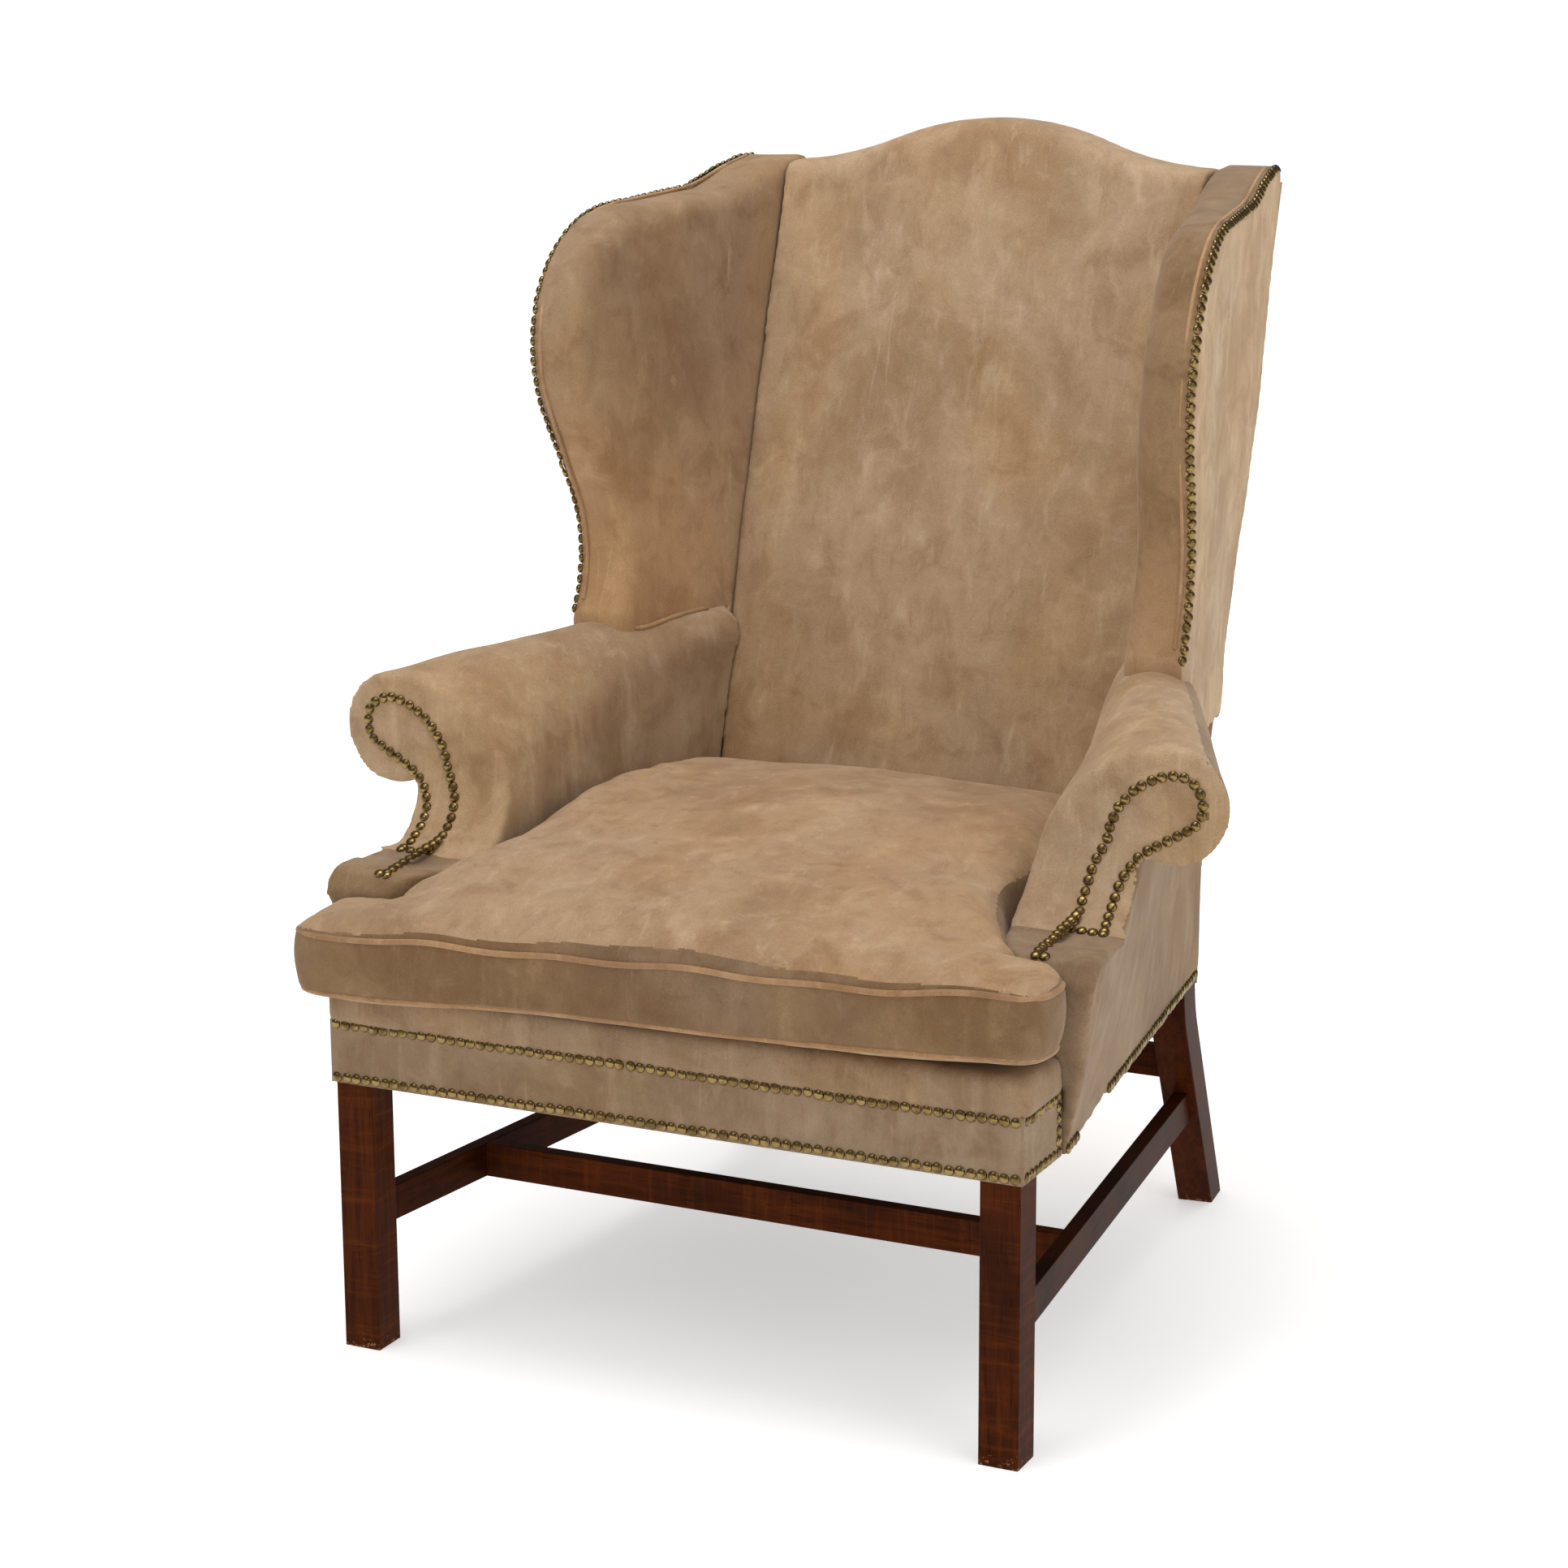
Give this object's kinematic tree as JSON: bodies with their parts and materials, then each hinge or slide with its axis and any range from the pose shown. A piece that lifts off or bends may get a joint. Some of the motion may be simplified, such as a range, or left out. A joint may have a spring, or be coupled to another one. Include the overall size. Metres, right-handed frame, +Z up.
{
  "type": "wingback armchair",
  "caption": "Wing chair with scrolled arms, camel crest, loose T-cushion, brass nail trim and square legs with stretchers.",
  "frame": {"origin": "on the floor, under the middle of the chair's width and depth", "axes": "+Z up; +X to the right of someone who faces the chair from the front; +Y from its front to its back; front is -Y"},
  "size_m": [0.927, 0.8592, 1.134],
  "materials": {
    "mahogany": "waxed, dark, a little worn",
    "beech": "sawn, bare",
    "suede": "napped suede, mottled",
    "suede_welt": "napped suede",
    "stuffing": "hair and felt stuffing",
    "webbing": "jute webbing",
    "hessian": "plain woven cloth",
    "spring_steel": "drawn wire",
    "antique_brass": "darkened",
    "zip_tape": "woven tape"
  },
  "bodies": {
    "chair": {"front_leg_left": "mahogany", "front_leg_right": "mahogany", "rear_leg_left": "mahogany", "rear_leg_right": "mahogany", "side_stretcher_left": "mahogany", "side_stretcher_right": "mahogany", "cross_stretcher": "mahogany", "rear_stretcher": "mahogany", "side_seat_rail_left": "beech", "side_seat_rail_right": "beech", "back_post_left": "beech", "back_post_right": "beech", "arm_post_left": "beech", "arm_post_right": "beech", "arm_rail_left": "beech", "arm_rail_right": "beech", "wing_post_left": "beech", "wing_post_right": "beech", "wing_rail_left": "beech", "wing_rail_right": "beech", "rear_seat_rail": "beech", "front_seat_rail": "beech", "crest_rail": "beech", "lower_back_rail": "beech", "corner_blocks": "beech", "arm_cover_left": "suede", "arm_cover_right": "suede", "arm_facing_left": "suede", "arm_facing_right": "suede", "wing_cover_left": "suede", "wing_cover_right": "suede", "outside_wing_left": "suede", "outside_wing_right": "suede", "outside_arm_left": "suede", "outside_arm_right": "suede", "inside_back": "suede", "outside_back": "suede", "deck_cover": "suede", "front_border": "suede", "wing_welts": "suede_welt", "arm_pad_left": "stuffing", "arm_pad_right": "stuffing", "wing_pad_left": "stuffing", "wing_pad_right": "stuffing", "back_pad": "stuffing", "deck_pad": "stuffing", "back_webbing": "webbing", "seat_webbing": "webbing", "spring_cover": "hessian", "dust_cover": "hessian", "seat_springs": "spring_steel", "rail_nails": "antique_brass", "arm_and_wing_nails": "antique_brass"},
    "cushion": {"cushion_core": "stuffing", "cushion_top": "suede", "cushion_boxing": "suede", "cushion_bottom": "suede", "cushion_welts": "suede_welt", "cushion_zip": "zip_tape"},
    "zip_slider": {"zip_slider": "antique_brass"}
  },
  "joints": [
    {"name": "cushion_lift", "type": "slide", "parent": "chair", "child": "cushion", "axis": [0, 0, 1], "range_m": [0, 0.3]},
    {"name": "zip_slide", "type": "slide", "parent": "cushion", "child": "zip_slider", "axis": [-1, 0, 0], "range_m": [0, 0.33]}
  ]
}
